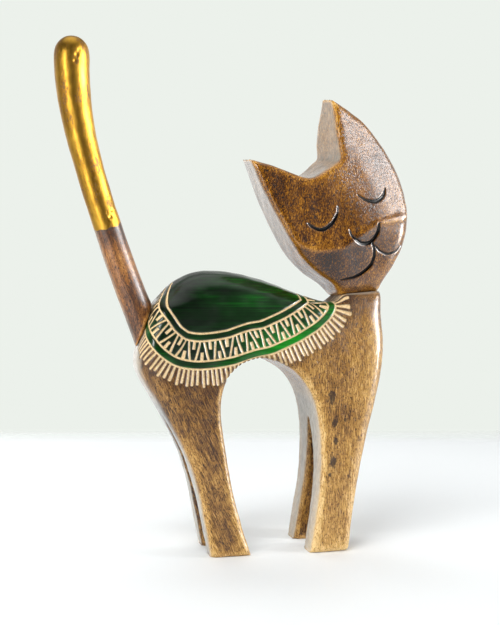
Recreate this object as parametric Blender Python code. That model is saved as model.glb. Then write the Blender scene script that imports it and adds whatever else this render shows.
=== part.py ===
"""Carved wooden cat figure: body block, head, tail, and the two dowels that join them.

Blender 4.5 script. Metres, +Z up, the table is Z = 0. The cat stands sideways: its length
runs along X with the head at +X, and its thickness along Y with the carved face at -Y.
Each carved piece is a sawn side outline with a rounded edge, whose two flanks are height
fields over that outline. Outline points are (x, z, edge width) in millimetres.
"""

import math

import bmesh
import bpy
from mathutils import Vector
from mathutils.geometry import delaunay_2d_cdt

MM = 0.001

# Driving dimensions, in millimetres
TORSO_HALF = 18.0           # half thickness of the block at the flank
FRONT_FOOT_HALF = 21.5      # half thickness over the spread front feet
HIND_FOOT_HALF = 18.6       # half thickness over the hind feet
NECK_HALF = 14.0            # half thickness where the head sits
FORK_FRONT = 66.0           # height of the fork between the two front legs
FORK_HIND = 70.0            # height of the fork between the two hind legs
GAP_FRONT = 8.3             # half gap between the front feet at the table
GAP_HIND = 5.6              # half gap between the hind feet at the table
HEAD_HALF = 17.5            # half thickness of the head at the muzzle ridge
HEAD_TURN = math.radians(32.7)      # how far the head's own upright leans to the left
HEAD_MIDDLE = (60.2, 163.4)         # (x, z) where the head is fullest
HALF_FACE = 40.0                    # from there across the face to its edge
HALF_HEAD = 55.0                    # and up towards the ears
FOREHEAD_DROP = 7.5         # how far the face leans back from the muzzle ridge to the ears
FOREHEAD_REACH = 46.0       # over about this height
MUZZLE_SLOPE = 0.26         # how steeply it leans back below the ridge
RIDGE_ROUNDING = 3.0        # radius of the muzzle ridge
RIGHT_FALL = 10.0           # how far the face falls away at its right edge
LEFT_FALL = 2.6             # and at its left edge
FAR_RIGHT_FALL = 1.5        # the same for the back of the head
FAR_LEFT_FALL = 5.0
EAR_TAPERS = ((50.0, 228.0, 9.0), (4.0, 194.0, 4.5))    # the back of each ear thins to its tip:
EAR_TAPER_REACH = 14.0                                  # (x, z, depth) of the tip, and how far
EAR_LIFT = 3.6              # the ears stand this much higher at the back than at the face
CLEFT_LIFT = 1.2            # and the floor of the cleft between them this much more
TAIL_RADIUS = 7.1           # the wooden part of the tail
TAIL_TIP_RADIUS = 8.6       # the swollen end of the tail
TAIL_SWELL = 0.3            # how much thicker the tail is at its foot than half way up
TAIL_TIP_HEIGHT = 251.3
NECK_DOWEL_RADIUS = 4.0
NECK_DOWEL_REACH = 16.0     # into the neck and into the head
TAIL_PEG_RADIUS = 3.5
TAIL_PEG_IN_BODY = 20.0
TAIL_PEG_IN_TAIL = 12.0
CLEARANCE = 0.3             # between pieces that touch
DOWEL_END_GAP = 0.2         # between a dowel's end and its nominal reach
LEG_PARTING_X = 15.0        # the arch between the hind legs and the front legs
BODY_SPACING, BODY_GRID = 2.9, 5.2      # spacing of points along the outline, and inside it
HEAD_SPACING, HEAD_GRID = 2.6, 4.6
TAIL_SIDES = 18
TAIL_STEPS = 3

# Joint faces, as (x, z) in the side view
NECK_SEAT = ((53.6, 126.6), (75.8, 128.7))
TAIL_SEAT = ((-49.0, 100.4), (-41.2, 121.7))
TAIL_AXIS = Vector((-0.349, 0.0, 0.937)).normalized()   # the way the tail lifts out

# The body's side outline: back, neck, chest, front foot, arch, hind foot, rump
BODY_OUTLINE = (
    (-41.2, 121.7, 9.0), (-33.4, 131.4, 18.0), (-23.0, 137.4, 22.0), (-11.0, 139.0, 24.0),
    (3.5, 137.2, 24.0), (19.0, 133.0, 22.0), (33.0, 127.7, 16.0), (45.0, 123.7, 8.0),
    (52.4, 124.4, 4.0), "corner", (53.6, 126.6, 4.0), "corner", (75.8, 128.7, 7.0),
    (75.6, 118.0, 8.0), (76.0, 104.0, 8.0), (75.0, 92.0, 8.0), (72.0, 78.0, 7.0),
    (66.0, 58.0, 6.0), (60.4, 36.0, 5.0), (56.6, 16.0, 4.0), "corner", (54.0, 0.0, 2.5),
    "corner", (34.0, 0.0, 1.2), (37.0, 18.1, 1.2), (39.2, 33.0, 1.2), (40.0, 50.0, 1.2),
    (38.6, 67.6, 1.2), (35.2, 78.5, 1.2), (29.5, 87.0, 1.4), (21.0, 92.8, 1.4),
    (11.0, 95.6, 1.4), (1.5, 93.2, 1.4), (-5.4, 87.6, 1.2), (-9.2, 79.0, 1.2),
    (-9.9, 68.0, 1.2), (-8.6, 57.5, 1.2), (-5.0, 35.0, 1.2), (0.0, 15.2, 1.2),
    "corner", (4.8, 0.0, 1.2), "corner", (-15.0, 0.0, 1.6), (-18.6, 18.0, 2.5),
    (-21.8, 33.0, 3.5), (-27.4, 50.0, 5.0), (-35.0, 65.0, 7.0), (-42.2, 77.5, 9.0),
    (-47.6, 86.5, 11.0), (-49.8, 93.5, 11.0), "corner", (-49.0, 100.4, 10.0), "corner",
)

# The head's side outline at the face: chin, cheek, ear, cleft, ear, brow, cheek
HEAD_OUTLINE = (
    (53.6, 127.1, 4.0), (49.6, 132.2, 3.0), (39.6, 138.7, 2.2), (30.8, 147.0, 2.0),
    (22.2, 160.6, 2.0), (12.6, 178.4, 1.8), "corner", (6.0, 193.4, 1.6), "corner",
    (17.0, 190.8, 1.6), (27.5, 187.2, 1.6), (33.5, 185.3, 1.6), (36.6, 185.0, 1.6),
    (41.0, 187.0, 1.6), (48.5, 191.6, 1.6), "corner", (53.2, 195.2, 1.6), "corner",
    (52.2, 207.0, 1.6), "corner", (50.3, 226.2, 1.6), "corner", (59.0, 221.4, 2.0),
    (68.2, 214.8, 2.4), (76.5, 205.8, 3.0), (83.5, 195.5, 3.5), (88.0, 185.0, 4.0),
    (90.0, 173.0, 4.5), (89.6, 162.0, 5.0), (87.0, 150.4, 5.5), (82.1, 140.6, 6.0),
    (77.8, 133.6, 6.5), "corner", (75.8, 129.2, 7.0), "corner",
)

MUZZLE_RIDGE = ((6.0, 162.0), (24.0, 154.0), (38.0, 148.8), (52.0, 150.0), (62.0, 157.0),
                (70.0, 162.5), (90.0, 167.5))

# The tail's centre line above its seat, as (x, z)
TAIL_LINE = ((-45.1, 111.05), (-48.5, 120.2), (-54.6, 135.9), (-61.3, 155.2), (-67.6, 174.6),
             (-73.2, 193.6), (-77.5, 212.8), (-79.6, 230.0), (-80.1, 242.5))


# ---------------------------------------------------------------- small helpers

def smoothstep(low, high, value):
    """Rise from 0 at low to 1 at high with flat ends."""
    t = min(max((value - low) / (high - low), 0.0), 1.0)
    return t * t * (3.0 - 2.0 * t)


def along(points, x):
    """Height at x of a line through (x, z) points."""
    for (x0, z0), (x1, z1) in zip(points, points[1:]):
        if x <= x1:
            return z0 + (z1 - z0) * max(x - x0, 0.0) / (x1 - x0)
    return points[-1][1]


def catmull(before, start, end, after, t):
    """Point at t between start and end on a smooth curve through all four."""
    return tuple(0.5 * (2 * b + (c - a) * t + (2 * a - 5 * b + 4 * c - d) * t * t
                        + (3 * b - 3 * c + d - a) * t ** 3)
                 for a, b, c, d in zip(before, start, end, after))


def smooth_outline(items, spacing):
    """Closed outline of (x, z, edge width) at about the spacing, smooth except at corners.

    The word "corner" in the list marks the point after it as a corner.
    """
    points, corners = [], set()
    for item in items:
        if item == "corner":
            corners.add(len(points))
        else:
            points.append(item)
    count = len(points)
    corners = {index % count for index in corners}
    result = []
    for i in range(count):
        start, end = points[i], points[(i + 1) % count]
        before = start if i in corners else points[i - 1]
        after = end if (i + 1) % count in corners else points[(i + 2) % count]
        steps = max(1, round(math.dist(start[:2], end[:2]) / spacing))
        result += [catmull(before, start, end, after, k / steps) for k in range(steps)]
    return result


def nearest_on_outline(outline, x, z):
    """Distance to the outline and the edge width at the nearest point of it."""
    best = (1e9, 0.0)
    for (ax, az, aw), (bx, bz, bw) in zip(outline, outline[1:] + outline[:1]):
        dx, dz = bx - ax, bz - az
        t = ((x - ax) * dx + (z - az) * dz) / max(dx * dx + dz * dz, 1e-9)
        t = min(max(t, 0.0), 1.0)
        distance = math.hypot(x - ax - t * dx, z - az - t * dz)
        if distance < best[0]:
            best = (distance, aw + (bw - aw) * t)
    return best


def inside(outline, x, z):
    """Whether (x, z) lies inside the closed outline."""
    hit = False
    for (ax, az, _), (bx, bz, _) in zip(outline, outline[1:] + outline[:1]):
        if (az > z) != (bz > z) and x < ax + (z - az) * (bx - ax) / (bz - az):
            hit = not hit
    return hit


def flank_samples(outline, grid):
    """Points inside the outline: rows that follow its rounded edge, then an even grid."""
    samples = []
    rows = []
    count = len(outline)
    for i, (x, z, width) in enumerate(outline):
        before, after = outline[i - 1], outline[(i + 1) % count]
        dx, dz = after[0] - before[0], after[1] - before[1]
        length = math.hypot(dx, dz)
        inward = (dz / length, -dx / length)
        turns = (90,) if width < 2.2 else (45, 90) if width < 5 else (25, 47, 68, 90)
        for turn in turns:
            inset = width * (1.0 - math.cos(math.radians(turn)))
            rows.append((x + inward[0] * inset, z + inward[1] * inset, inset))
    for x, z, inset in rows:
        if inside(outline, x, z) and nearest_on_outline(outline, x, z)[0] > inset * 0.9:
            if all(math.hypot(x - a, z - b) > min(1.0, inset * 0.6) for a, b in samples):
                samples.append((x, z))
    low_x, high_x = min(p[0] for p in outline), max(p[0] for p in outline)
    low_z, high_z = min(p[1] for p in outline), max(p[1] for p in outline)
    edge_rows = list(samples)
    for row in range(int((high_z - low_z) / grid) + 1):
        for column in range(int((high_x - low_x) / grid) + 2):
            x = low_x + (column - 0.5 * (row % 2)) * grid
            z = low_z + row * grid
            if not inside(outline, x, z):
                continue
            distance, width = nearest_on_outline(outline, x, z)
            if distance > max(width, 2.5) and all(
                    math.hypot(x - a, z - b) > grid * 0.55 for a, b in edge_rows):
                samples.append((x, z))
    return samples


def carved_block(name, outline, half_near, half_far, grid, shift=None):
    """Closed mesh object: a side outline with rounded edges and two height-field flanks."""
    samples = flank_samples(outline, grid)
    flat = [Vector((x, z)) for x, z, _ in outline] + [Vector(p) for p in samples]
    count = len(outline)
    loop = [(i, (i + 1) % count) for i in range(count)]
    plane, _, faces, _, _, _ = delaunay_2d_cdt(flat, loop, [], 1, 1e-4)
    mesh = bmesh.new()
    sides = []
    for sign, half in ((-1, half_near), (1, half_far)):
        verts = []
        for point in plane:
            x, z = point
            distance, width = nearest_on_outline(outline, x, z)
            full = half(x, z)
            drop = min(width, full - 1.5)
            t = min(distance / width, 1.0)
            y = sign * (full - drop + drop * math.sqrt(max(0.0, 1.0 - (1.0 - t) ** 2)))
            if shift:
                x, z = shift(x, y, z)
            verts.append(mesh.verts.new((x * MM, y * MM, z * MM)))
        sides.append(verts)
        for face in faces:
            mesh.faces.new([verts[i] for i in face])
    for a, b in loop:
        mesh.faces.new((sides[0][a], sides[0][b], sides[1][b], sides[1][a]))
    bmesh.ops.triangulate(mesh, faces=mesh.faces[:])
    bmesh.ops.recalc_face_normals(mesh, faces=mesh.faces[:])
    return new_object(name, mesh)


def new_object(name, mesh):
    """Link a bmesh to the scene as an object and shade its round parts smooth."""
    data = bpy.data.meshes.new(name)
    mesh.to_mesh(data)
    mesh.free()
    data.shade_smooth()
    data.set_sharp_from_angle(angle=math.radians(50))
    piece = bpy.data.objects.new(name, data)
    bpy.context.scene.collection.objects.link(piece)
    return piece


def cylinder(name, radius, start, end, sides=24):
    """Closed cylinder between two points in millimetres; its origin is its start."""
    axis = Vector(end) - Vector(start)
    mesh = bmesh.new()
    bmesh.ops.create_cone(mesh, cap_ends=True, segments=sides, radius1=radius * MM,
                          radius2=radius * MM, depth=axis.length * MM)
    bmesh.ops.translate(mesh, verts=mesh.verts[:], vec=(0, 0, axis.length * MM / 2))
    piece = new_object(name, mesh)
    piece.location = Vector(start) * MM
    piece.rotation_euler = axis.to_track_quat("Z", "Y").to_euler()
    return piece


def cut(piece, cutter):
    """Subtract a hidden cutter from a piece."""
    cutter.hide_render = True
    cutter.display_type = "WIRE"
    step = piece.modifiers.new("cut_" + cutter.name, "BOOLEAN")
    step.operation = "DIFFERENCE"
    step.solver = "EXACT"
    step.object = cutter


def finish(piece, name, color, roughness, metallic=0.0):
    """Give a piece its own Principled material."""
    material = bpy.data.materials.new(name)
    material.use_nodes = True
    shader = material.node_tree.nodes["Principled BSDF"]
    shader.inputs["Base Color"].default_value = (*color, 1.0)
    shader.inputs["Roughness"].default_value = roughness
    shader.inputs["Metallic"].default_value = metallic
    piece.data.materials.append(material)


# ---------------------------------------------------------------- the body

def body_half(x, z):
    """Half thickness of the body: spread feet, plain torso, slimmer neck."""
    half = TORSO_HALF
    if x > LEG_PARTING_X:
        half += (FRONT_FOOT_HALF - TORSO_HALF) * smoothstep(95.0, 0.0, z)
    else:
        half += (HIND_FOOT_HALF - TORSO_HALF) * smoothstep(90.0, 0.0, z)
    return half + (NECK_HALF - TORSO_HALF) * smoothstep(92.0, 130.0, z) * smoothstep(28.0, 56.0, x)


def fork_cutter(name, x_low, x_high, fork, gap):
    """Pointed-arch prism along X that parts a left leg from a right leg."""
    heights = (1.0, 0.76, 0.5, 0.25, -0.08)
    widths = (0.0, 0.46, 0.76, 0.93, 1.02)
    right = [(gap * w, fork * h) for w, h in zip(widths, heights)]
    profile = right + [(-y, z) for y, z in reversed(right[1:])]
    mesh = bmesh.new()
    ring = [mesh.verts.new((x_low * MM, y * MM, z * MM)) for y, z in profile]
    cap = mesh.faces.new(ring)
    grown = bmesh.ops.extrude_face_region(mesh, geom=[cap])["geom"]
    moved = [item for item in grown if isinstance(item, bmesh.types.BMVert)]
    bmesh.ops.translate(mesh, verts=moved, vec=((x_high - x_low) * MM, 0, 0))
    bmesh.ops.recalc_face_normals(mesh, faces=mesh.faces[:])
    return new_object(name, mesh)


def neck_points():
    """Middle of the neck joint and its upward direction."""
    (x0, z0), (x1, z1) = NECK_SEAT
    middle = Vector(((x0 + x1) / 2, 0.0, (z0 + z1) / 2))
    return middle, Vector((z0 - z1, 0.0, x1 - x0)).normalized()


def make_body():
    outline = smooth_outline(BODY_OUTLINE, BODY_SPACING)
    body = carved_block("body", outline, body_half, body_half, BODY_GRID)
    cut(body, fork_cutter("fork_front", LEG_PARTING_X, 95.0, FORK_FRONT, GAP_FRONT))
    cut(body, fork_cutter("fork_hind", -70.0, LEG_PARTING_X, FORK_HIND, GAP_HIND))
    middle, up = neck_points()
    depth = NECK_DOWEL_REACH + CLEARANCE
    cut(body, cylinder("neck_socket", NECK_DOWEL_RADIUS + CLEARANCE, middle - up * depth,
                       middle + up * 5.0))
    seat = Vector((TAIL_LINE[0][0], 0.0, TAIL_LINE[0][1]))
    depth = TAIL_PEG_IN_BODY + CLEARANCE
    cut(body, cylinder("tail_socket", TAIL_PEG_RADIUS + CLEARANCE, seat - TAIL_AXIS * depth,
                       seat + TAIL_AXIS * 15.0))
    finish(body, "body_wood", (0.20, 0.095, 0.035), 0.38)
    return body


# ---------------------------------------------------------------- the head

def head_place(x, z):
    """How far a point lies across and up the tilted head, as shares of HALF_FACE and HALF_HEAD."""
    right, up = x - HEAD_MIDDLE[0], z - HEAD_MIDDLE[1]
    across = right * math.cos(HEAD_TURN) + up * math.sin(HEAD_TURN)
    height = up * math.cos(HEAD_TURN) - right * math.sin(HEAD_TURN)
    return across / HALF_FACE, height / HALF_HEAD


def head_near(x, z):
    """Half thickness on the face side: two slopes that meet at the muzzle ridge, and a full cheek."""
    above = z - along(MUZZLE_RIDGE, x)
    if above > 0:
        drop = FOREHEAD_DROP * (1.0 - math.exp(-math.hypot(above, RIDGE_ROUNDING) / FOREHEAD_REACH))
    else:
        drop = MUZZLE_SLOPE * math.hypot(above, RIDGE_ROUNDING)
    across, _ = head_place(x, z)
    fall = RIGHT_FALL if across > 0 else LEFT_FALL
    return HEAD_HALF + 0.6 - drop - fall * across ** 2


def head_far(x, z):
    """Half thickness on the back of the head: one shallow dome."""
    across, height = head_place(x, z)
    side = FAR_RIGHT_FALL if across > 0 else FAR_LEFT_FALL
    half = HEAD_HALF - 0.5 - side * across ** 2 - 0.8 * height ** 2
    for tip_x, tip_z, depth in EAR_TAPERS:
        half -= depth * math.exp(-((x - tip_x) ** 2 + (z - tip_z) ** 2) / (2 * EAR_TAPER_REACH ** 2))
    return half


def lean_of_ears(x, y, z):
    """The ears rise towards the back of the head, and the cleft between them gets narrower."""
    back = smoothstep(-14.0, 14.0, y)
    near_cleft = math.exp(-((x - 42.0) ** 2 + (z - 189.0) ** 2) / 130.0)
    ear_base = math.exp(-((x - 53.0) ** 2 / 90.0 + (z - 203.0) ** 2 / 900.0))
    lift = EAR_LIFT * smoothstep(152.0, 190.0, z) + CLEFT_LIFT * near_cleft
    return x - 5.0 * back * ear_base, z + lift * back


def make_head():
    outline = smooth_outline(HEAD_OUTLINE, HEAD_SPACING)
    head = carved_block("head", outline, head_near, head_far, HEAD_GRID, lean_of_ears)
    middle, up = neck_points()
    depth = NECK_DOWEL_REACH + CLEARANCE
    cut(head, cylinder("head_socket", NECK_DOWEL_RADIUS + CLEARANCE, middle - up * 5.0,
                       middle + up * depth))
    finish(head, "head_wood", (0.23, 0.105, 0.03), 0.35)
    return head


# ---------------------------------------------------------------- the tail

def tail_centre(steps):
    """Points and tangents of the tail's centre line, in millimetres."""
    line = [(x, z) for x, z in TAIL_LINE]
    points = []
    for i in range(len(line) - 1):
        before = line[i - 1] if i else line[0]
        after = line[i + 2] if i + 2 < len(line) else line[-1]
        points += [catmull(before, line[i], line[i + 1], after, k / steps)
                   for k in range(steps)]
    points.append(line[-1])
    return [Vector((x, 0.0, z)) for x, z in points]


def tail_seat():
    """A point of the tail's slanting bottom face, and the face's direction."""
    seat_low, seat_high = (Vector((x, 0.0, z)) for x, z in TAIL_SEAT)
    out = (seat_high - seat_low).cross(Vector((0, 1, 0))).normalized()
    if out.x > 0:
        out = -out
    start = Vector((TAIL_LINE[0][0], 0.0, TAIL_LINE[0][1]))
    return start + out * CLEARANCE, out


def tail_rings(centre):
    """Rings of points around the tail's centre line, from just above its seat to its tip."""
    rings = []
    top = len(centre) - 1
    for i, point in enumerate(centre[1:], 1):
        tangent = (centre[min(i + 1, top)] - centre[i - 1]).normalized()
        across = tangent.cross(Vector((0, 1, 0))).normalized()
        share = i / top
        radius = TAIL_RADIUS + TAIL_SWELL * math.cos(share * 2 * math.pi)
        radius += (TAIL_TIP_RADIUS - TAIL_RADIUS - TAIL_SWELL) * smoothstep(0.55, 0.95, share)
        turns = (2 * math.pi * k / TAIL_SIDES for k in range(TAIL_SIDES))
        rings.append([point + (across * math.cos(a) + Vector((0, 1, 0)) * math.sin(a)) * radius
                      for a in turns])
    return rings


def make_tail():
    centre = tail_centre(TAIL_STEPS)
    seat, out = tail_seat()
    rings = tail_rings(centre)
    mesh = bmesh.new()
    base = []
    for corner in rings[0]:
        reach = (corner - seat).dot(out) / TAIL_AXIS.dot(out)
        base.append(corner - TAIL_AXIS * reach)
    clear = [ring for ring in rings if min((p - seat).dot(out) for p in ring) > 1.2]
    dome_height = TAIL_TIP_HEIGHT - centre[-1].z
    for turn in (25, 50, 72):
        rise = math.sin(math.radians(turn)) * dome_height
        shrink = math.cos(math.radians(turn))
        clear.append([centre[-1] + (p - centre[-1]) * shrink + Vector((0, 0, rise))
                      for p in rings[-1]])
    loops = [[mesh.verts.new(p * MM) for p in ring] for ring in [base] + clear]
    for lower, upper in zip(loops, loops[1:]):
        for k in range(TAIL_SIDES):
            n = (k + 1) % TAIL_SIDES
            mesh.faces.new((lower[k], lower[n], upper[n], upper[k]))
    mesh.faces.new(loops[0])
    tip = mesh.verts.new((centre[-1] + Vector((0, 0, dome_height))) * MM)
    for k in range(TAIL_SIDES):
        mesh.faces.new((loops[-1][k], loops[-1][(k + 1) % TAIL_SIDES], tip))
    bmesh.ops.triangulate(mesh, faces=mesh.faces[:])
    bmesh.ops.recalc_face_normals(mesh, faces=mesh.faces[:])
    tail = new_object("tail", mesh)
    cut(tail, cylinder("tail_bore", TAIL_PEG_RADIUS + CLEARANCE, centre[0] - TAIL_AXIS * 15.0,
                       centre[0] + TAIL_AXIS * (TAIL_PEG_IN_TAIL + CLEARANCE)))
    finish(tail, "tail_wood", (0.42, 0.25, 0.05), 0.35, 0.3)
    return tail


# ---------------------------------------------------------------- the dowels

def make_dowels():
    middle, up = neck_points()
    reach = NECK_DOWEL_REACH - DOWEL_END_GAP
    dowel = cylinder("neck_dowel", NECK_DOWEL_RADIUS, middle - up * reach, middle + up * reach)
    finish(dowel, "neck_dowel_wood", (0.62, 0.45, 0.25), 0.6)
    seat = Vector((TAIL_LINE[0][0], 0.0, TAIL_LINE[0][1]))
    peg = cylinder("tail_peg", TAIL_PEG_RADIUS,
                   seat - TAIL_AXIS * (TAIL_PEG_IN_BODY - DOWEL_END_GAP),
                   seat + TAIL_AXIS * (TAIL_PEG_IN_TAIL - DOWEL_END_GAP))
    finish(peg, "tail_peg_wood", (0.62, 0.45, 0.25), 0.6)


def main():
    for item in list(bpy.data.objects):
        bpy.data.objects.remove(item, do_unlink=True)
    make_body()
    make_head()
    make_tail()
    make_dowels()


main()
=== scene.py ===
"""The looks of a carved wooden cat: lacquered wood, an incised green blanket, a gilded tail."""

import math

import bmesh
import bpy
import numpy as np
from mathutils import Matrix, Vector
from mathutils.bvhtree import BVHTree
from mathutils.kdtree import KDTree


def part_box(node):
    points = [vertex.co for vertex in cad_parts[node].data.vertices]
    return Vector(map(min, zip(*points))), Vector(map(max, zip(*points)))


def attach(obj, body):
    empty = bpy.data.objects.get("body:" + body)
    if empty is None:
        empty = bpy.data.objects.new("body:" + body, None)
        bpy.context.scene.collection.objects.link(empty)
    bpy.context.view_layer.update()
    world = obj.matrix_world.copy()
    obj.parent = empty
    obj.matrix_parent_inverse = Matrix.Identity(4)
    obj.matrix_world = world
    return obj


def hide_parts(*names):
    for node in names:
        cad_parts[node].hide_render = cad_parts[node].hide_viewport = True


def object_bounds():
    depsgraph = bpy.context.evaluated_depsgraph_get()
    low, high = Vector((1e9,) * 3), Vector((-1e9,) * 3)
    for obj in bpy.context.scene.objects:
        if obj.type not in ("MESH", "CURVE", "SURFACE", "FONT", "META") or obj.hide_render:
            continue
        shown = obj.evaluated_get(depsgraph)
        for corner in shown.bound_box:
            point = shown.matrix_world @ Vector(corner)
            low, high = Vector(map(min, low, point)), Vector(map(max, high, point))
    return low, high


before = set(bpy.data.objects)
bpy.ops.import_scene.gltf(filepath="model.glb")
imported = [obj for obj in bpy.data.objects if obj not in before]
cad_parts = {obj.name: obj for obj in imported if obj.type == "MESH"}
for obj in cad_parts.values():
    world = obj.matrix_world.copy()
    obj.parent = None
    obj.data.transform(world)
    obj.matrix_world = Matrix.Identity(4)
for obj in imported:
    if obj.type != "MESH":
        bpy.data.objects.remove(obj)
cad_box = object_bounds()

MM = 0.001                      # all shapes below are worked out in millimetres

# The fine surfaces
BODY_GRAIN_SIZE = 0.68          # side of a facet on the body
HEAD_GRAIN_SIZE = 0.55
TAIL_GRAIN_SIZE = 0.5
FAIRING_ROUNDS = 45             # smooths the facets of the CAD solid, and leaves its arrises
FAIRING_STEP = 0.6
ARRIS_ROUNDS = 2                # then rounds the arrises, as sanding does
ARRIS_STEP = 0.5
SOLE_EDGE = 1.0                 # the lowest part of the legs, which stays sharp
PROUD = 0.28                    # an arris that stands this far out is worn bright, and a crease this deep gets full painted shade
BODY_WEAR_AND_SHADE_ROUNDS = 11           # more rounds make the worn arrises, and the painted shade in creases, wider
HEAD_WEAR_AND_SHADE_ROUNDS = 8
TAIL_WEAR_AND_SHADE_ROUNDS = 10
HIND_LEAN = -0.42               # how far the grain leans forward, in the hind legs and in the head
HEAD_LEAN = 0.1

# What the knife leaves: layers of unevenness, as (depth, wavelength, seed)
BODY_HANDWORK = ((0.07, 11, 1), (0.03, 5, 2))
HEAD_HANDWORK = ((0.06, 10, 5), (0.03, 4.5, 6))
TAIL_HANDWORK = ((0.06, 17, 8), (0.02, 5, 9))
BAND_WANDER = ((0.10, 9, 3),)   # and how far the blanket's cuts stray, along the hem and across it
HEM_WANDER = ((0.07, 12, 4),)
GILDING_WANDER = ((0.35, 4, 11),)
TAIL_TONE = ((0.12, 30, 12),)

# The saddle blanket: its hem on one flank, from the tail's seat to the back of the neck
HEM_ROUTE = ((-46.3, -5.5, 111.2), (-45.9, -8.6, 108.7), (-45.4, -12.4, 105.6),
             (-43.9, -15.8, 101.9), (-40.2, -17.8, 97.7), (-33.2, -18.0, 92.9),
             (-24.7, -18.0, 90.9), (-16.2, -18.0, 90.8), (-4.6, -18.0, 92.4),
             (6.5, -18.0, 95.2), (17.4, -18.0, 98.5), (28.7, -18.0, 103.5),
             (38.7, -17.5, 109.2), (46.2, -16.0, 115.4), (49.3, -13.6, 120.6),
             (48.8, -8.0, 123.9), (48.2, 0.0, 124.3))
HEM_LINES = (0.0, 3.9, 13.6, 17.2)      # the long cut lines, by their distance from the hem
BAND_THINNING = 60              # the band's middle line keeps one point in so many
LINE_WIDTH = 0.88
TENT_PITCH = 8.3                # the zigzag between the second line and the third
TENT_TOP = 1.05                 # half the width of a tent at its top, and at its foot
TENT_FOOT = 3.0
STUB_LENGTH = 4.2               # the short thick strokes inside the tents and between them
STUB_WIDTH = 1.35
FRINGE_PITCH = 2.25
FRINGE_WIDTH = 1.0
FRINGE_LENGTH = 7.6
FRINGE_GAP = 0.2                # from the hem to the top of the fringe
CUT_DEPTH = 0.38
CUT_ZONE = (-FRINGE_LENGTH - 2.5, HEM_LINES[-1] + 1.5)      # finer facets here, by distance in

# Dark marks on the near front leg, as (x, z, half width, half height)
STAINS = ((45.8, 75.7, 1.7, 3.8), (47.1, 63.3, 1.8, 1.9), (47.5, 54.5, 1.2, 2.0),
          (45.7, 44.2, 1.9, 2.8), (52.4, 64.6, 0.8, 1.0), (44.1, 37.9, 0.8, 1.3))

# The face, on the near side of the head: centre lines with the half width of the cut at each point
LEFT_EYE = ((34.4, 162.2, 0.3), (36.7, 160.3, 0.6), (39.8, 159.2, 0.8), (42.8, 159.5, 0.9),
            (45.9, 161.6, 0.85), (48.0, 164.1, 0.75), (49.7, 167.7, 0.5), (50.0, 171.2, 0.2))
RIGHT_EYE = ((60.6, 177.2, 0.2), (64.1, 175.0, 0.5), (67.4, 174.1, 0.85), (70.6, 174.3, 1.0),
             (73.3, 175.8, 0.95), (75.5, 178.4, 0.7), (76.3, 181.4, 0.25))
NOSE = ((55.5, 159.4, 0.15), (56.6, 156.6, 0.4), (58.5, 154.5, 0.6), (62.4, 152.6, 0.8),
        (66.6, 153.1, 0.9), (69.2, 155.8, 0.8), (70.8, 158.9, 0.8), (71.0, 162.6, 0.5))
MOUTH_LEFT = ((68.2, 153.0, 0.5), (69.7, 149.4, 0.65), (69.7, 145.9, 0.75), (68.2, 142.0, 0.8),
              (65.0, 138.8, 0.7), (60.3, 136.2, 0.55), (55.9, 135.0, 0.4), (52.2, 134.3, 0.15))
MOUTH_RIGHT = ((69.6, 151.6, 0.35), (72.8, 149.2, 0.45), (76.4, 147.8, 0.5), (79.8, 148.3, 0.5),
               (82.8, 149.8, 0.45), (85.4, 152.4, 0.25))
FACE_DEPTH = 0.85
FACE_SEARCH = 5.0               # cuts farther off than this don't matter to a point
FACE_MARGIN = 4
FACE_ZONE = 2.2                 # finer facets this near to a cut
MUZZLE_RIDGE = ((6.0, 162.0), (24.0, 154.0), (38.0, 148.8), (52.0, 150.0), (62.0, 157.0),
                (70.0, 162.5), (90.0, 167.5))       # the fold across the muzzle, as (x, z)
RIDGE_WIDTH = 2.2

# The glued joint between the neck and the head
NECK_AXIS = (-0.094, 0.0, 0.996)
NECK_REACH = 3.0                # how far from the joint its faces are drawn together
NECK_HALF_LENGTH = 18
GLUE_GAP = 0.7

# The tail
TAIL_RADIUS = 7
GILDING_EDGE = 160.4            # height of the gilding's lower edge on the tail
GILDING_SAG = 2.2
TAIL_DENTS = ((-78.0, -8.3, 240.4, 0.9, 0.5), (-78.8, -8.4, 237.2, 1.0, 0.55),
              (-76.9, -8.3, 242.6, 0.7, 0.35), (-61.3, -5.8, 167.3, 0.7, 0.4),
              (-62.0, -6.4, 164.0, 0.8, 0.45))      # as (x, y, z, radius, depth)


# ---------------------------------------------------------------- meshes

def rows_of(mesh, field):
    flat = np.zeros(len(mesh.vertices) * 3)
    mesh.vertices.foreach_get(field, flat)
    return flat.reshape(-1, 3)


def points_of(mesh):
    return rows_of(mesh, "co") / MM


def normals_of(mesh):
    return rows_of(mesh, "normal")


def set_points(mesh, points):
    mesh.vertices.foreach_set("co", (points * MM).ravel())
    mesh.update()


def store(mesh, name, values):
    """Keeps a number, or a vector, at each point of the mesh for its material to read."""
    kind, field = ("FLOAT", "value") if values.ndim == 1 else ("FLOAT_VECTOR", "vector")
    layer = mesh.attributes.new(name, kind, "POINT")
    layer.data.foreach_set(field, values.astype(np.float32).ravel())


def fine_copy(node, name, side):
    """A new piece with the shape of a CAD node, in small even facets."""
    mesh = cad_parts[node].data.copy()
    welded = bmesh.new()
    welded.from_mesh(mesh)
    bmesh.ops.remove_doubles(welded, verts=welded.verts, dist=0.001 * MM)
    welded.to_mesh(mesh)
    welded.free()
    piece = bpy.data.objects.new(name, mesh)
    bpy.context.scene.collection.objects.link(piece)
    remesh = piece.modifiers.new("fine", "REMESH")
    remesh.mode = "VOXEL"
    remesh.voxel_size = side * MM
    remesh.use_smooth_shade = True
    evaluated = piece.evaluated_get(bpy.context.evaluated_depsgraph_get())
    piece.data = bpy.data.meshes.new_from_object(evaluated)
    piece.modifiers.clear()
    piece.data.materials.clear()
    piece.data.name = name
    return piece


def neighbours(mesh):
    pairs = np.zeros(len(mesh.edges) * 2, int)
    mesh.edges.foreach_get("vertices", pairs)
    first, second = pairs.reshape(-1, 2).T
    return np.concatenate([first, second]), np.concatenate([second, first])


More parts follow.
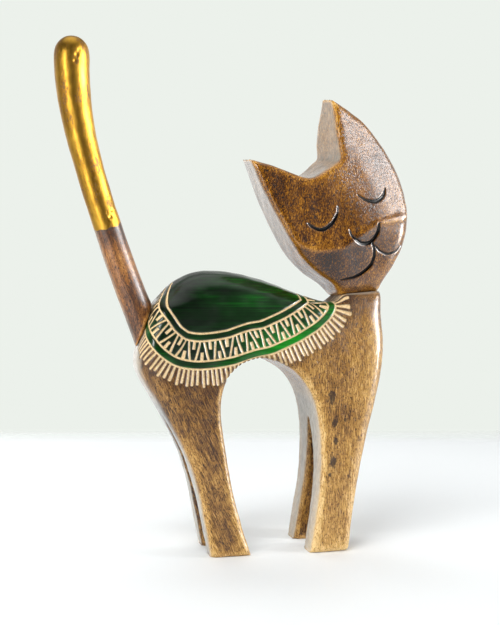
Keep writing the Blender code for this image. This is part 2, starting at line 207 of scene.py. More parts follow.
def averaged(values, links, weights):
    """Each point's weighted mean over its neighbours."""
    here, there = links
    total = np.bincount(here, weights, len(values))
    columns = [np.bincount(here, weights * column[there], len(values)) for column in values.T]
    return np.stack(columns, 1) / np.maximum(total, 1e-9)[:, None]


def fair(mesh, rounds, spread=0.03):
    """Evens the surface out. A neighbour that faces another way pulls less, so arrises stay.

    What was lost is evened out as well and put back, so that the piece keeps its size.
    """
    links = neighbours(mesh)
    here, there = links
    start = points_of(mesh)
    for _ in range(rounds):
        points, normals = points_of(mesh), normals_of(mesh)
        turn = 1 - (normals[here] * normals[there]).sum(1)
        pull = np.exp(-turn / spread) + 1e-4
        set_points(mesh, points + FAIRING_STEP * (averaged(points, links, pull) - points))
    points = points_of(mesh)
    lost = start - points
    for _ in range(rounds):
        lost = lost + FAIRING_STEP * (averaged(lost, links, pull) - lost)
    set_points(mesh, points + lost)


def soften(mesh, rounds):
    """Rounds the surface evenly, arrises too, but leaves the edges of the soles."""
    links = neighbours(mesh)
    even = np.ones(len(links[0]))
    for _ in range(rounds):
        points = points_of(mesh)
        free = above(points[:, 2], SOLE_EDGE, 1.0)[:, None] * ARRIS_STEP
        set_points(mesh, points + free * (averaged(points, links, even) - points))


def refine(mesh, chosen):
    """Splits each facet whose points are chosen into four."""
    work = bmesh.new()
    work.from_mesh(mesh)
    edges = [e for e in work.edges if chosen[e.verts[0].index] and chosen[e.verts[1].index]]
    bmesh.ops.subdivide_edges(work, edges=edges, cuts=1, use_grid_fill=True)
    work.to_mesh(mesh)
    work.free()


def smooth_shaded(mesh):
    mesh.polygons.foreach_set("use_smooth", np.ones(len(mesh.polygons), bool))
    mesh.update()


def ripples(points, wavelength, seed, waves=9):
    """A soft uneven field between about -1 and 1, for marks of handwork."""
    draw = np.random.default_rng(seed)
    total = np.zeros(len(points))
    for _ in range(waves):
        direction = draw.normal(size=3)
        direction /= np.linalg.norm(direction)
        length = wavelength * draw.uniform(0.7, 1.5)
        total += np.sin(points @ direction * 2 * math.pi / length + draw.uniform(0, 2 * math.pi))
    return total / math.sqrt(waves)


def handwork(points, layers):
    return sum(depth * ripples(points, wavelength, seed) for depth, wavelength, seed in layers)


def patch(points, x, z, wide, tall):
    """1 at a place seen from the flank, fading over that width and height."""
    return np.exp(-((points[:, 0] - x) / wide) ** 2 - ((points[:, 2] - z) / tall) ** 2)


def side_of(mesh):
    """Where the pale painted reflection goes: 1 on a piece's sawn sides and tops, less on the sides
    towards the head, 0 on its flanks.
    """
    normals = normals_of(mesh)
    sideways = np.maximum(-normals[:, 0], normals[:, 0] * 0.87)
    return above(np.hypot(sideways, np.maximum(normals[:, 2], 0)), 0.88, 0.18)


def wear_and_crease_shade_of(mesh, rounds):
    """How far each point stands proud of the surface around it: 1 on an arris, -1 in a crease.
    Arrises are worn bright by it, and creases get painted shade.
    """
    points, normals = points_of(mesh), normals_of(mesh)
    links = neighbours(mesh)
    even = np.ones(len(links[0]))
    level = points
    for _ in range(rounds):
        level = averaged(level, links, even)
    proud = ((points - level) * normals).sum(1)
    return np.clip(proud / PROUD, -1, 1)


# ---------------------------------------------------------------- curves on a surface

def tree_of(places):
    tree = KDTree(len(places))
    for k, place in enumerate(places):
        tree.insert(place, k)
    tree.balance()
    return tree


class Trail:
    """A smooth curve through points of any dimension, walked in short steps."""

    def __init__(self, points, step=0.15):
        marks = np.array(points, float)
        ends = np.vstack([2 * marks[0] - marks[1], marks, 2 * marks[-1] - marks[-2]])
        rows = []
        for a, b, c, d in zip(ends, ends[1:], ends[2:], ends[3:]):
            count = max(2, int(np.linalg.norm((c - b)[:3]) / step))
            t = (np.arange(count) / count)[:, None]
            rows.append(0.5 * (2 * b + (c - a) * t + (2 * a - 5 * b + 4 * c - d) * t ** 2
                               + (3 * b - a - 3 * c + d) * t ** 3))
        self.at = np.vstack(rows + [marks[-1:]])
        self.measure()

    def measure(self):
        places = self.at[:, :3]
        sizes = np.linalg.norm(np.diff(places, axis=0), axis=1)
        self.length = np.concatenate([[0], np.cumsum(sizes)])
        course = np.gradient(places, axis=0)
        self.course = course / np.linalg.norm(course, axis=1)[:, None]

    def nearest(self, points):
        tree = tree_of(self.at[:, :3])
        return np.array([tree.find(p)[1] for p in points])


def laid_on(mesh, trail, window=15):
    """Puts the trail on the surface. Returns the surface's smoothed normal along it."""
    surface = bmesh.new()
    surface.from_mesh(mesh)
    tree = BVHTree.FromBMesh(surface)
    found = [tree.find_nearest(Vector(p) * MM) for p in trail.at]
    surface.free()
    trail.at = np.array([f[0] for f in found]) / MM
    normals = np.array([f[1] for f in found])
    kernel = np.ones(window) / window
    for values in (trail.at, normals):
        for axis in range(3):
            padded = np.pad(values[:, axis], window // 2, mode="edge")
            values[:, axis] = np.convolve(padded, kernel, "valid")
    trail.measure()
    return normals / np.linalg.norm(normals, axis=1)[:, None]


def blanket_coordinates(mesh):
    """For each point: its length along the hem, its distance in from it, its length along the band.

    Both flanks are alike. The band is the zigzag's, and its middle line runs inside the hem.
    """
    hem = Trail(HEM_ROUTE)
    outward = laid_on(mesh, hem)
    inward = np.cross(outward, hem.course)
    if inward[len(inward) // 2, 2] < 0:
        inward = -inward
    middle = hem.at + inward * (HEM_LINES[1] + HEM_LINES[2]) / 2
    band = Trail(middle[::BAND_THINNING])
    laid_on(mesh, band)
    folded = points_of(mesh)
    folded[:, 1] = -np.abs(folded[:, 1])
    near = hem.nearest(folded)
    offset = folded - hem.at[near]
    along = (offset * hem.course[near]).sum(1)
    across = np.sqrt(np.maximum((offset ** 2).sum(1) - along ** 2, 0))
    side = np.sign((offset * inward[near]).sum(1))
    middle_near = band.nearest(folded)
    middle_along = ((folded - band.at[middle_near]) * band.course[middle_near]).sum(1)
    return hem.length[near] + along, across * side, band.length[middle_near] + middle_along


# ---------------------------------------------------------------- formulas for arrays and for nodes

class Wire:
    """A number that a shader node gives. It adds and multiplies as an array does."""

    def __init__(self, tree, socket):
        self.tree, self.socket = tree, socket

    def math(self, kind, *others):
        node = self.tree.nodes.new("ShaderNodeMath")
        node.operation = kind
        for place, value in enumerate((self,) + others):
            if isinstance(value, Wire):
                self.tree.links.new(value.socket, node.inputs[place])
            else:
                node.inputs[place].default_value = value
        return Wire(self.tree, node.outputs[0])

    def __add__(self, other):
        return self.math("ADD", other)

    __radd__ = __add__

    def __sub__(self, other):
        return self.math("SUBTRACT", other)

    def __rsub__(self, other):
        return self.math("MULTIPLY", -1.0) + other

    def __mul__(self, other):
        return self.math("MULTIPLY", other)

    __rmul__ = __mul__

    def __truediv__(self, other):
        return self.math("DIVIDE", other)

    def __abs__(self):
        return self.math("ABSOLUTE")


def worked(kind, on_arrays, a, *others):
    """One step of a formula, by a shader node or on an array."""
    return a.math(kind, *others) if isinstance(a, Wire) else on_arrays(a, *others)


def smaller(a, b):
    return worked("MINIMUM", np.minimum, a, b)


def larger(a, b):
    return worked("MAXIMUM", np.maximum, a, b)


def whole(a):
    return worked("FLOOR", np.floor, a)


def sine(a):
    return worked("SINE", np.sin, a)


def root(a):
    return worked("SQRT", np.sqrt, a)


def above(value, level, soft):
    """0 below the level and 1 above it, with a soft step."""
    ramp = (value - level) / soft + 0.5
    return smaller(larger(ramp, 0.0), 1.0)


def stroke(distance, width, soft):
    """1 on a line of that width, whose middle is that distance away."""
    return above(0.5 * width - distance, 0.0, soft)


def within(value, low, high, soft):
    return above(value, low, soft) * above(high - value, 0.0, soft)


def blanket_cuts(band, d, soft):
    """1 in the lines cut through the blanket's paint and 0 elsewhere."""
    lines = stroke(abs(d - HEM_LINES[0]), LINE_WIDTH, soft)
    for place in HEM_LINES[1:]:
        lines = larger(lines, stroke(abs(d - place), LINE_WIDTH, soft))
    foot, top = HEM_LINES[1], HEM_LINES[2]
    x = abs(band - TENT_PITCH * whole(band / TENT_PITCH + 0.5))
    fall = (top - d) / (top - foot)
    tent = stroke(abs(x - (TENT_FOOT - TENT_TOP) * fall - TENT_TOP), LINE_WIDTH, soft)
    tent = tent * within(d, foot, top, soft)
    low_stub = stroke(x, STUB_WIDTH, soft) * within(d, foot, foot + STUB_LENGTH, soft)
    high_stub = stroke(0.5 * TENT_PITCH - x, STUB_WIDTH, soft)
    high_stub = high_stub * within(d, top - STUB_LENGTH, top, soft)
    return larger(larger(lines, tent), larger(low_stub, high_stub))


def fringe_cuts(s, d, soft, width=FRINGE_WIDTH):
    """1 in the short strokes below the hem. Each has a shift, a lean and a length of its own."""
    index = whole(s / FRINGE_PITCH + 0.5)
    below = 0 - d
    lean = 0.14 * sine(index * 5.1) + 0.03 * below * sine(index * 3.7)
    x = abs(s - FRINGE_PITCH * index - lean)
    past = larger(below - FRINGE_LENGTH - 0.7 * sine(index * 2.4), 0.0)
    return stroke(root(x * x + past * past), width, soft) * above(below - FRINGE_GAP, 0.0, soft)


# ---------------------------------------------------------------- the three carved pieces

def grain_of(points, lean):
    """Coordinates whose third runs along the wood's grain, which leans forward by that much."""
    grain = points.copy()
    grain[:, 0] -= lean * points[:, 2]
    return grain


def carved_body():
    piece = fine_copy("body", "carved_body", BODY_GRAIN_SIZE)
    mesh = piece.data
    fair(mesh, FAIRING_ROUNDS)
    soften(mesh, ARRIS_ROUNDS)
    s, d, band = blanket_coordinates(mesh)
    refine(mesh, (d > CUT_ZONE[0]) & (d < CUT_ZONE[1]))
    soften(mesh, 1)
    wear_and_crease_shade = wear_and_crease_shade_of(mesh, BODY_WEAR_AND_SHADE_ROUNDS)
    points, normals = points_of(mesh), normals_of(mesh)
    s, d, band = blanket_coordinates(mesh)
    band = band + handwork(points, BAND_WANDER)
    d = d + handwork(points, HEM_WANDER)
    cuts = larger(blanket_cuts(band, d, 0.5), fringe_cuts(s, d, 0.6))
    points = points + normals * (handwork(points, BODY_HANDWORK) - CUT_DEPTH * cuts)[:, None]
    points = close_glue_line(points, 1.0)
    points[:, 2] = np.maximum(points[:, 2], 0.0)
    set_points(mesh, points)
    smooth_shaded(mesh)

    # The wood is darker on the hind part and higher up; painted shade darkens the throat under the
    # head and the faces between the legs, and painted light brightens the chest
    x, y, z = points.T
    hind = above(-x, -8.0, 30.0)
    share = hind[:, None]
    store(mesh, "grain", points * (1 - share) + grain_of(points, HIND_LEAN) * share)
    painted_shade_at_throat = above(z, 121, 10) * above(x, 50, 6)
    painted_light_on_chest = patch(points, 66, 95, 14, 22)
    painted_shade_between_legs = above(13 - np.abs(y), 0.0, 3) * above(74 - z, 0.0, 6)
    tone = 0.67 - 0.0022 * z - 0.18 * hind + 0.12 * painted_light_on_chest - 0.28 * painted_shade_at_throat - 0.34 * painted_shade_between_legs
    store(mesh, "tone", tone)
    store(mesh, "wear_and_crease_shade", wear_and_crease_shade)
    store(mesh, "side", side_of(mesh) * 1.5)
    store(mesh, "hem_s", s)
    store(mesh, "hem_d", d)
    store(mesh, "band", band)
    marks = [patch(points, *stain) for stain in STAINS]
    store(mesh, "stain", np.max(marks, 0) * (y < -10))
    # painted light on the green paint: brighter around the middle of the flank and along the hem
    store(mesh, "light", np.exp(-((x - 22) / 26) ** 2) + np.exp(-(d / 5) ** 2) - 0.25)
    finish_piece(piece, "body", "figure")
    return piece


def face_cuts(points, normals):
    """Distance outside the cuts of the face, less than 0 inside them, in millimetres."""
    rows = []
    for marks in (LEFT_EYE, RIGHT_EYE, NOSE, MOUTH_LEFT, MOUTH_RIGHT):
        rows.append(Trail([(x, 0.0, z, half) for x, z, half in marks]).at)
    stations = np.vstack(rows)
    tree = tree_of(stations[:, :3])
    lo, hi = stations.min(0) - FACE_MARGIN, stations.max(0) + FACE_MARGIN
    outside = np.full(len(points), FACE_SEARCH)
    front = (normals[:, 1] < -0.35) & (points[:, 0] > lo[0]) & (points[:, 0] < hi[0])
    front &= (points[:, 2] > lo[2]) & (points[:, 2] < hi[2])
    for k in np.flatnonzero(front):
        _, station, distance = tree.find((points[k, 0], 0.0, points[k, 2]))
        outside[k] = min(FACE_SEARCH, distance - stations[station, 3])
    return outside


def above_ridge(points):
    """Height over the fold across the muzzle."""
    return points[:, 2] - np.interp(points[:, 0], *zip(*MUZZLE_RIDGE))


def carved_head():
    piece = fine_copy("head", "carved_head", HEAD_GRAIN_SIZE)
    mesh = piece.data
    fair(mesh, FAIRING_ROUNDS)
    soften(mesh, ARRIS_ROUNDS)
    outside = face_cuts(points_of(mesh), normals_of(mesh))
    refine(mesh, outside < FACE_ZONE)
    wear_and_crease_shade = wear_and_crease_shade_of(mesh, HEAD_WEAR_AND_SHADE_ROUNDS)
    points, normals = points_of(mesh), normals_of(mesh)
    outside = face_cuts(points, normals)
    depth = FACE_DEPTH * above(-outside, 0.15, 1.1)
    ridge_height = np.interp(points[:, 0], (40, 75), (0.5, 0.9))
    ridge = ridge_height * np.exp(-(above_ridge(points) / RIDGE_WIDTH) ** 2)
    ridge = ridge * above(-normals[:, 1], 0.7, 0.3)
    lift = handwork(points, HEAD_HANDWORK) + ridge - depth
    points = close_glue_line(points + normals * lift[:, None], -1.0)
    set_points(mesh, points)
    smooth_shaded(mesh)

    # Painted shade under the muzzle's fold, with a painted highlight along its crest; the wood is
    # darker towards the edges, most at the left
    store(mesh, "grain", grain_of(points, HEAD_LEAN))
    x, _, z = points.T
    rise = above_ridge(points)
    facing = above(-normals[:, 1], 0.6, 0.3)
    # painted shade on the down-facing muzzle below the fold, turning to a little painted light at
    # its right end
    under = above(-rise, 0.5, 3.0) * facing * (-0.2 + 1.2 * above(62 - x, 0.0, 30))
    # painted highlight along the crest of the fold, away from the nose
    painted_highlight_on_crest = np.exp(-((rise + 0.6) / 1.3) ** 2) * facing * above(np.abs(x - 60), 8.0, 16)
    tone = 0.43 - 0.0022 * np.abs(x - 52) - 0.0035 * np.maximum(38 - x, 0)
    store(mesh, "tone", tone - 0.24 * under + 0.20 * painted_highlight_on_crest)
    right_ear = above(0.84 * x + 0.54 * z - 139, 6.0, 26) * above(rise, 0.0, 12)
    store(mesh, "rough", right_ear * facing)
    store(mesh, "wear_and_crease_shade", wear_and_crease_shade)
    store(mesh, "side", side_of(mesh))
    store(mesh, "cut", outside)
    finish_piece(piece, "head", "figure")
    return piece


def tail_coordinates(points):
    """For each point: its place across the tail, twice, and along it. Then the middle line."""
    heights = np.linspace(points[:, 2].min() + 6, points[:, 2].max() - 6, 18)
    middles = []
    for z in heights:
        ring = points[np.abs(points[:, 2] - z) < 3]
        middles.append((ring[:, 0].mean(), 0.0, z))
    spine = Trail(middles, 0.5)
    near = spine.nearest(points)
    offset = points - spine.at[near]
    course = spine.course[near]
    along = (offset * course).sum(1)
    sideways = np.stack([course[:, 2], np.zeros(len(points)), -course[:, 0]], 1)
    across = (offset * sideways).sum(1)
    return np.stack([across, offset[:, 1], spine.length[near] + along], 1), spine


def carved_tail():
    piece = fine_copy("tail", "carved_tail", TAIL_GRAIN_SIZE)
    mesh = piece.data
    fair(mesh, FAIRING_ROUNDS)
    soften(mesh, ARRIS_ROUNDS)
    wear_and_crease_shade = wear_and_crease_shade_of(mesh, TAIL_WEAR_AND_SHADE_ROUNDS)
    points, normals = points_of(mesh), normals_of(mesh)
    grain, spine = tail_coordinates(points)
    edge = np.interp(GILDING_EDGE, spine.at[:, 2], spine.length)
    sag = GILDING_SAG * grain[:, 1] / TAIL_RADIUS
    gilt = grain[:, 2] - edge - sag + handwork(points, GILDING_WANDER)
    lift = handwork(points, TAIL_HANDWORK)
    for *place, radius, depth in TAIL_DENTS:
        away = np.linalg.norm(points - np.array(place), axis=1)
        lift = lift - depth * np.exp(-(away / radius) ** 2)
    set_points(mesh, points + normals * lift[:, None])
    smooth_shaded(mesh)

    store(mesh, "grain", grain)
    store(mesh, "tone", 0.31 + handwork(points, TAIL_TONE))
    store(mesh, "wear_and_crease_shade", wear_and_crease_shade)
    store(mesh, "side", side_of(mesh))
    store(mesh, "gilt", gilt)
    finish_piece(piece, "tail", "tail")
    return piece


def close_glue_line(points, towards):
    """Brings the faces of the glued neck joint together: up for the body, down for the head."""
    lo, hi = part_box("neck_dowel")
    middle = np.array((lo + hi) / 2) / MM
    along = np.array(NECK_AXIS)
    away = ((points - middle) * along).sum(1)
    near = np.abs(away) < NECK_REACH
    near &= np.abs(points[:, 0] - middle[0]) < NECK_HALF_LENGTH
    near &= (away < 0) == (towards > 0)
    shift = np.where(near, (1 - np.abs(away) / NECK_REACH) * GLUE_GAP * towards, 0.0)
    return points + shift[:, None] * along


def finish_piece(piece, node, body):
    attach(piece, body)
    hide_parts(node)


# ---------------------------------------------------------------- materials

def colour(red, green, blue):
    """A screen colour, 0 to 255, as the light that a shader works in."""
    return (*(((v / 255 + 0.055) / 1.055) ** 2.4 if v > 10 else v / 255 / 12.92
              for v in (red, green, blue)), 1.0)


def new_material(name):
    material = bpy.data.materials.new(name)
    material.use_nodes = True
    tree = material.node_tree
    return material, tree, tree.nodes["Principled BSDF"]


def plug(tree, value, socket):
    """Feeds a socket from a wire, from another socket, or with a plain value."""
    if isinstance(value, Wire):
        tree.links.new(value.socket, socket)
    elif isinstance(value, bpy.types.NodeSocket):
        tree.links.new(value, socket)
    else:
        socket.default_value = value


def number_at_point(tree, name):
    node = tree.nodes.new("ShaderNodeAttribute")
    node.attribute_name = name
    return Wire(tree, node.outputs["Fac"])


def noise(tree, size, detail=2.0, roughness=0.55):
    """Noise about 0.5 on average. Its features are so big across the grain, twice, and along it."""
    place = tree.nodes.new("ShaderNodeAttribute")
    place.attribute_name = "grain"
    scaled = tree.nodes.new("ShaderNodeVectorMath")
    scaled.operation = "DIVIDE"
    scaled.inputs[1].default_value = size
    tree.links.new(place.outputs["Vector"], scaled.inputs[0])
    node = tree.nodes.new("ShaderNodeTexNoise")
    node.inputs["Scale"].default_value = 1.0
    node.inputs["Detail"].default_value = detail
    node.inputs["Roughness"].default_value = roughness
    tree.links.new(scaled.outputs[0], node.inputs["Vector"])
    return Wire(tree, node.outputs["Fac"])


def ramp(tree, value, stops):
    """Colours by value: stops are (value, screen colour)."""
    node = tree.nodes.new("ShaderNodeValToRGB")
    tree.links.new(value.socket, node.inputs["Fac"])
    elements = node.color_ramp.elements
    while len(elements) < len(stops):
        elements.new(0.5)
    for element, (place, shade) in zip(elements, stops):
        element.position = place
        element.color = colour(*shade)
    return node.outputs["Color"]


def blended(tree, share, first, second):
    """The first colour where share is 0, the second where it is 1."""
    node = tree.nodes.new("ShaderNodeMix")
    node.data_type = "RGBA"
    plug(tree, share, node.inputs[0])
    plug(tree, first, node.inputs[6])
    plug(tree, second, node.inputs[7])
    return node.outputs[2]


def mixed(share, first, second):
    return first + share * (second - first)


def bumped(tree, shader, height, depth, lacquered=0.5, strength=1.0):
    """Relief of that depth in millimetres, and a share of it in the lacquer on top."""
    for socket, share in (("Normal", 1.0), ("Coat Normal", lacquered)):
        node = tree.nodes.new("ShaderNodeBump")
        node.inputs["Distance"].default_value = depth * share * MM
        plug(tree, height, node.inputs["Height"])
        plug(tree, strength, node.inputs["Strength"])
        tree.links.new(node.outputs["Normal"], shader.inputs[socket])


BODY_SHADES = ((0.0, (22, 10, 3)), (0.25, (80, 46, 14)), (0.5, (152, 108, 46)),
               (0.75, (204, 158, 84)), (1.0, (236, 202, 140)))
HEAD_SHADES = ((0.0, (12, 5, 0)), (0.25, (62, 30, 2)), (0.5, (132, 80, 7)),
               (0.75, (194, 136, 42)), (1.0, (234, 190, 106)))
TAIL_SHADES = ((0.0, (26, 10, 3)), (0.25, (80, 42, 12)), (0.5, (150, 94, 38)),
               (0.75, (204, 146, 72)), (1.0, (236, 190, 120)))
GREEN_SHADES = ((0.0, (2, 16, 3)), (0.35, (3, 42, 6)), (0.7, (7, 96, 14)), (1.0, (24, 146, 28)))
DOWEL_SHADES = ((0.3, (150, 112, 70)), (0.7, (214, 184, 138)))
BACKDROP = colour(236, 241, 235)
# a pale grey painted reflection of the bright room, laid on the sawn sides and tops
GREY_PAINTED_REFLECTION = colour(182, 174, 158)
CREAM = colour(232, 206, 160)
DIRTY_CREAM = colour(184, 138, 82)
STAIN = colour(34, 20, 16)
BURNT_WOOD = colour(58, 32, 14)
BLACK_PAINT = colour(8, 7, 7)
BRIGHT_GOLD = colour(206, 160, 62)
DULL_GOLD = colour(142, 98, 26)
UNDER_GOLD = colour(92, 58, 20)
UNDER_LACQUER = 0.15            # the wood's own shine, below the lacquer's
BODY_LACQUER = 0.14             # the lacquer's roughness
HEAD_LACQUER = 0.17
TAIL_LACQUER = 0.18
DEEPEST_STAIN = 0.85

# Sizes of the features of the wood and the paint, across the grain, twice, and along it
FLECK = (0.38, 0.38, 1.1)
MOTTLE = (1.5, 1.5, 3.5)
CLOUD = (12.0, 12.0, 24.0)
BLOT = (0.7, 0.7, 1.2)
BRUSH_MARK = (30.0, 3.0, 0.9)
POOL = (20.0, 14.0, 9.0)
CHALK = (0.6, 0.6, 0.6)
GOLD_FLAKE = (0.5, 0.5, 1.3)
GOLD_PATCH = (4.0, 4.0, 12.0)

# Depth of the fine relief in the wood, in millimetres
BODY_RELIEF = 0.06
HEAD_RELIEF = 0.13
TAIL_RELIEF = 0.045
DOWEL_RELIEF = 0.08


def wood(tree, shades, streak, contrast, worn=0.42):
    """Stained wood under lacquer, with streaks of that size: its colour, roughness and relief.

    Arrises are brighter by the worn share and creases darker by it, the latter as painted shade.
    The sawn sides and tops get a pale grey painted reflection.
    """
    width, length = streak
    streaks = noise(tree, (width, width, length), 3.0, 0.65)
    flecks = noise(tree, FLECK)
    mottle = noise(tree, MOTTLE, 3.0)
    clouds = noise(tree, CLOUD)
    pores = above(flecks, 0.60, 0.12)
    wear_and_crease_shade = number_at_point(tree, "wear_and_crease_shade")
    value = number_at_point(tree, "tone") + (streaks - 0.5) * contrast + (mottle - 0.5) * 0.45
    # worn arrises come out lighter, and creases darker with painted shade
    value = value + (clouds - 0.5) * 0.5 + wear_and_crease_shade * worn - pores * 0.42
    relief = streaks * 0.5 - pores * 0.8
    # painted reflection: pale grey over the sawn sides and tops, patchy with the mottle
    painted_reflection_share = number_at_point(tree, "side") * ((mottle - 0.5) * 0.6 + 0.45)
    base = blended(tree, painted_reflection_share, ramp(tree, value, shades), GREY_PAINTED_REFLECTION)
    return base, pores * 0.2 + 0.42, relief


def body_material():
    material, tree, shader = new_material("lacquered_wood_and_green_paint")
    s, d = number_at_point(tree, "hem_s"), number_at_point(tree, "hem_d")
    base, roughness, relief = wood(tree, BODY_SHADES, (0.42, 4.5), 1.35, 0.28)
    stained = number_at_point(tree, "stain")
    blots = noise(tree, BLOT)
    spilt = above(stained + (blots - 0.5) * 1.8, 0.42, 0.2) * smaller(stained * 3.0, DEEPEST_STAIN)
    base = blended(tree, spilt, base, STAIN)
    fringe = fringe_cuts(s, d, 0.35)
    lines = blanket_cuts(number_at_point(tree, "band"), d, 0.35)
    burnt = within(d, -FRINGE_LENGTH - 1.0, 0.6, 3.0) * 0.35
    burnt = larger(burnt, fringe_cuts(s, d, 0.5, FRINGE_WIDTH + 0.8) * 0.55)
    base = blended(tree, burnt, base, BURNT_WOOD)
    brushed = noise(tree, BRUSH_MARK, 3.0)
    pools = noise(tree, POOL, 1.0)
    # the green is lighter where brush marks and pools leave it thin, and brighter still with
    # painted light
    light = number_at_point(tree, "light") * 0.34
    paint_thinness_and_painted_light = (brushed - 0.5) * 0.9 + (pools - 0.5) * 0.8 + light + 0.18
    painted = above(d, 0.0, 0.4)
    base = blended(tree, painted, base, ramp(tree, paint_thinness_and_painted_light, GREEN_SHADES))
    chalky = noise(tree, CHALK)
    cut = larger(lines, fringe)
    cream = blended(tree, above(chalky, 0.53, 0.25) * 0.6, CREAM, DIRTY_CREAM)
    plug(tree, blended(tree, cut, base, cream), shader.inputs["Base Color"])
    roughness = mixed(cut, mixed(painted, roughness, roughness * 0.3 + 0.2), 0.7)
    plug(tree, roughness, shader.inputs["Roughness"])
    plug(tree, mixed(cut, 0.75, 0.15), shader.inputs["Coat Weight"])
    shader.inputs["Coat Roughness"].default_value = BODY_LACQUER
    shader.inputs["Specular IOR Level"].default_value = UNDER_LACQUER
    bumped(tree, shader, relief * (1 - painted * 0.75) - cut * 1.2, BODY_RELIEF)
    return material


def head_material():
    material, tree, shader = new_material("lacquered_wood_and_black_lines")
    base, roughness, relief = wood(tree, HEAD_SHADES, (0.45, 1.3), 1.5, 0.45)
    inked = above(0.12 - number_at_point(tree, "cut"), 0.0, 0.25)
    plug(tree, blended(tree, inked, base, BLACK_PAINT), shader.inputs["Base Color"])
    plug(tree, mixed(inked, roughness, 0.25), shader.inputs["Roughness"])
    plug(tree, mixed(inked, 1.0, 0.2), shader.inputs["Coat Weight"])
    shader.inputs["Coat Roughness"].default_value = HEAD_LACQUER
    shader.inputs["Specular IOR Level"].default_value = UNDER_LACQUER
    strength = number_at_point(tree, "rough") * 0.8 + 0.2
    bumped(tree, shader, relief, HEAD_RELIEF, 0.6, strength)
    return material


def tail_material():
    material, tree, shader = new_material("lacquered_wood_and_gilding")
    base, roughness, relief = wood(tree, TAIL_SHADES, (0.6, 9.0), 1.0)
    flakes = noise(tree, GOLD_FLAKE, 3.0)
    patches = noise(tree, GOLD_PATCH)
    worn = above(flakes + (patches - 0.5) * 0.9, 0.66, 0.10)
    gilded = above(number_at_point(tree, "gilt"), 0.0, 0.3)
    leaf = gilded * (1 - worn * 0.8)
    gold = blended(tree, above(patches, 0.5, 0.5), BRIGHT_GOLD, DULL_GOLD)
    under = blended(tree, gilded, base, UNDER_GOLD)
    plug(tree, blended(tree, leaf, under, gold), shader.inputs["Base Color"])
    plug(tree, leaf, shader.inputs["Metallic"])
    plug(tree, mixed(gilded, roughness, 0.34 + worn * 0.2), shader.inputs["Roughness"])
    plug(tree, 0.35 - gilded * 0.35, shader.inputs["Coat Weight"])
    shader.inputs["Coat Roughness"].default_value = TAIL_LACQUER
    bumped(tree, shader, relief * (1 - gilded * 0.4) - worn * gilded * 0.6, TAIL_RELIEF)
    return material


def dowel_material():
    material, tree, shader = new_material("bare_dowel_wood")
    place = tree.nodes.new("ShaderNodeTexCoord")
    node = tree.nodes.new("ShaderNodeTexNoise")
    node.inputs["Scale"].default_value = 900.0
    node.inputs["Detail"].default_value = 3.0
    tree.links.new(place.outputs["Object"], node.inputs["Vector"])
    streaks = Wire(tree, node.outputs["Fac"])
    plug(tree, ramp(tree, streaks, DOWEL_SHADES), shader.inputs["Base Color"])
    shader.inputs["Roughness"].default_value = 0.65
    bumped(tree, shader, streaks, DOWEL_RELIEF)
    return material


# ---------------------------------------------------------------- table, lights and camera

CAMERA_TURN = math.radians(14)  # the camera stands this far round to the left of the near side
CAMERA_DISTANCE = 0.473
CAMERA_HEIGHT = 0.118
CAMERA_AIM_X = 0.0085
CAMERA_LENS = 54
CAMERA_SENSOR = 36
TABLE_BACK = 0.425              # from the figure to the table's far edge, away from the camera
TABLE_FADE = 0.09               # width of that edge, where the table fades out
TABLE_MARGIN = 0.08             # its mesh goes on this much farther
TABLE_FRONT = -1.3
TABLE_HALF_WIDTH = 1.6
TABLE_COLOUR = (0.83, 0.86, 0.87, 1)
ROOM_LIGHT = (1.0, 1.0, 0.98, 1)
AWAY = Vector((math.sin(CAMERA_TURN), math.cos(CAMERA_TURN), 0.0))
RIGHT = Vector((math.cos(CAMERA_TURN), -math.sin(CAMERA_TURN), 0.0))
UP = Vector((0, 0, 1))

# Lamps, as (name, place to the right, away from the camera and up, size, power, what they do).
# One that shines lights the surfaces. One that shows is only seen in the lacquer and the gold.
LAMPS = (("rear_left", (-0.50, 0.90, 0.30), (0.5, 0.6), 2.5, "shines"),
         ("left_sheen", (-0.47, 0.88, 0.05), (0.5, 0.9), 0.6, "shows"),
         ("right_sheen", (0.93, -0.14, 0.45), (0.75, 0.7), 18, "shows"),
         ("right_strip", (0.96, -0.12, 0.18), (0.20, 0.6), 16, "shows"),
         ("right", (0.90, -0.20, 0.28), (0.25, 0.25), 4.6, "shines"),
         ("left_front", (-0.85, -0.40, 0.22), (0.3, 0.45), 5.0, "shines"),
         ("front_sheen", (-0.58, -0.75, 0.28), (0.16, 0.5), 4.5, "shows"),
         ("high_front", (-0.25, -0.55, 0.90), (0.5, 0.5), 8.0, "shines"),
         ("top", (0.0, 0.30, 1.10), (0.9, 0.9), 1.0, "shines"))


def table():
    mesh = bpy.data.meshes.new("table")
    work = bmesh.new()
    floor_height = cad_box[0].z
    left, right, far = -TABLE_HALF_WIDTH, TABLE_HALF_WIDTH, TABLE_BACK + TABLE_MARGIN
    corners = ((left, TABLE_FRONT), (right, TABLE_FRONT), (right, far), (left, far))
    work.faces.new([work.verts.new(RIGHT * u + AWAY * v + UP * floor_height) for u, v in corners])
    work.to_mesh(mesh)
    work.free()
    floor = bpy.data.objects.new("table", mesh)
    bpy.context.scene.collection.objects.link(floor)
    material, tree, shader = new_material("pale_table")
    shader.inputs["Base Color"].default_value = TABLE_COLOUR
    shader.inputs["Roughness"].default_value = 0.6
    place = tree.nodes.new("ShaderNodeTexCoord")
    reach = tree.nodes.new("ShaderNodeVectorMath")
    reach.operation = "DOT_PRODUCT"
    reach.inputs[1].default_value = AWAY
    tree.links.new(place.outputs["Object"], reach.inputs[0])
    away = Wire(tree, reach.outputs["Value"])
    plug(tree, above(TABLE_BACK - away, 0.0, TABLE_FADE), shader.inputs["Alpha"])
    mesh.materials.append(material)


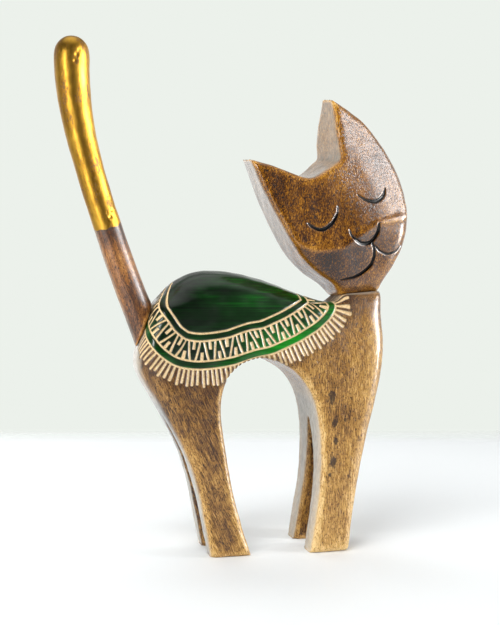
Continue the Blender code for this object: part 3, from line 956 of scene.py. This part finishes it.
def softbox(name, place, size, power, does, aim):
    """A soft lamp that the camera doesn't see."""
    light = bpy.data.lights.new(name, "AREA")
    light.shape = "RECTANGLE"
    light.size, light.size_y = size
    light.energy = power
    lamp = bpy.data.objects.new(name, light)
    lamp.location = place
    lamp.rotation_euler = (aim - place).to_track_quat("-Z", "Y").to_euler()
    lamp.visible_camera = False
    lamp.visible_glossy = does == "shows"
    lamp.visible_diffuse = does == "shines"
    bpy.context.scene.collection.objects.link(lamp)


def lights():
    middle = (cad_box[0] + cad_box[1]) / 2
    for name, (right, away, up), size, power, does in LAMPS:
        softbox(name, RIGHT * right + AWAY * away + UP * up, size, power, does, middle)
    over = AWAY * 0.35 + UP * 0.7
    softbox("over_the_table", over, (0.8, 0.4), 2.3, "shines", AWAY * 0.30)


def surroundings():
    """A pale room: plain to the camera, but its light is brighter behind and to the right."""
    world = bpy.data.worlds.new("room")
    bpy.context.scene.world = world
    world.use_nodes = True
    tree = world.node_tree
    tree.nodes.clear()
    place = tree.nodes.new("ShaderNodeTexCoord")

    def facing(direction):
        dot = tree.nodes.new("ShaderNodeVectorMath")
        dot.operation = "DOT_PRODUCT"
        dot.inputs[1].default_value = direction.normalized()
        tree.links.new(place.outputs["Generated"], dot.inputs[0])
        return Wire(tree, dot.outputs["Value"])

    behind = above(facing(AWAY - RIGHT * 0.25), 0.25, 1.0)
    right = above(facing(RIGHT - AWAY * 0.1), 0.55, 0.7)
    ceiling = above(facing(UP), 0.55, 0.5)
    zenith = above(facing(UP), 0.85, 0.2)
    path = tree.nodes.new("ShaderNodeLightPath")
    mirrored = Wire(tree, path.outputs["Is Glossy Ray"])
    walls = behind * (mirrored * 0.45 + 0.55) + right * 0.2
    strength = walls * (1 - ceiling * 0.85) + zenith * mirrored * 1.2 + 0.006
    lit = tree.nodes.new("ShaderNodeBackground")
    lit.inputs["Color"].default_value = ROOM_LIGHT
    plug(tree, strength, lit.inputs["Strength"])
    seen = tree.nodes.new("ShaderNodeBackground")
    seen.inputs["Color"].default_value = BACKDROP
    either = tree.nodes.new("ShaderNodeMixShader")
    tree.links.new(path.outputs["Is Camera Ray"], either.inputs[0])
    tree.links.new(lit.outputs[0], either.inputs[1])
    tree.links.new(seen.outputs[0], either.inputs[2])
    out = tree.nodes.new("ShaderNodeOutputWorld")
    tree.links.new(either.outputs[0], out.inputs["Surface"])
    bpy.context.scene.view_settings.view_transform = "Standard"


def camera():
    data = bpy.data.cameras.new("camera")
    data.lens = CAMERA_LENS
    data.sensor_width = CAMERA_SENSOR
    eye = bpy.data.objects.new("camera", data)
    eye.location = Vector((CAMERA_AIM_X, 0, CAMERA_HEIGHT)) - AWAY * CAMERA_DISTANCE
    eye.rotation_euler = (math.pi / 2, 0, -CAMERA_TURN)
    bpy.context.scene.collection.objects.link(eye)
    bpy.context.scene.camera = eye


camera()
table()
lights()
surroundings()
carved_body().data.materials.append(body_material())
carved_head().data.materials.append(head_material())
carved_tail().data.materials.append(tail_material())
bare_wood = dowel_material()
for dowel in ("neck_dowel", "tail_peg"):
    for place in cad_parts[dowel].material_slots:
        place.material = bare_wood
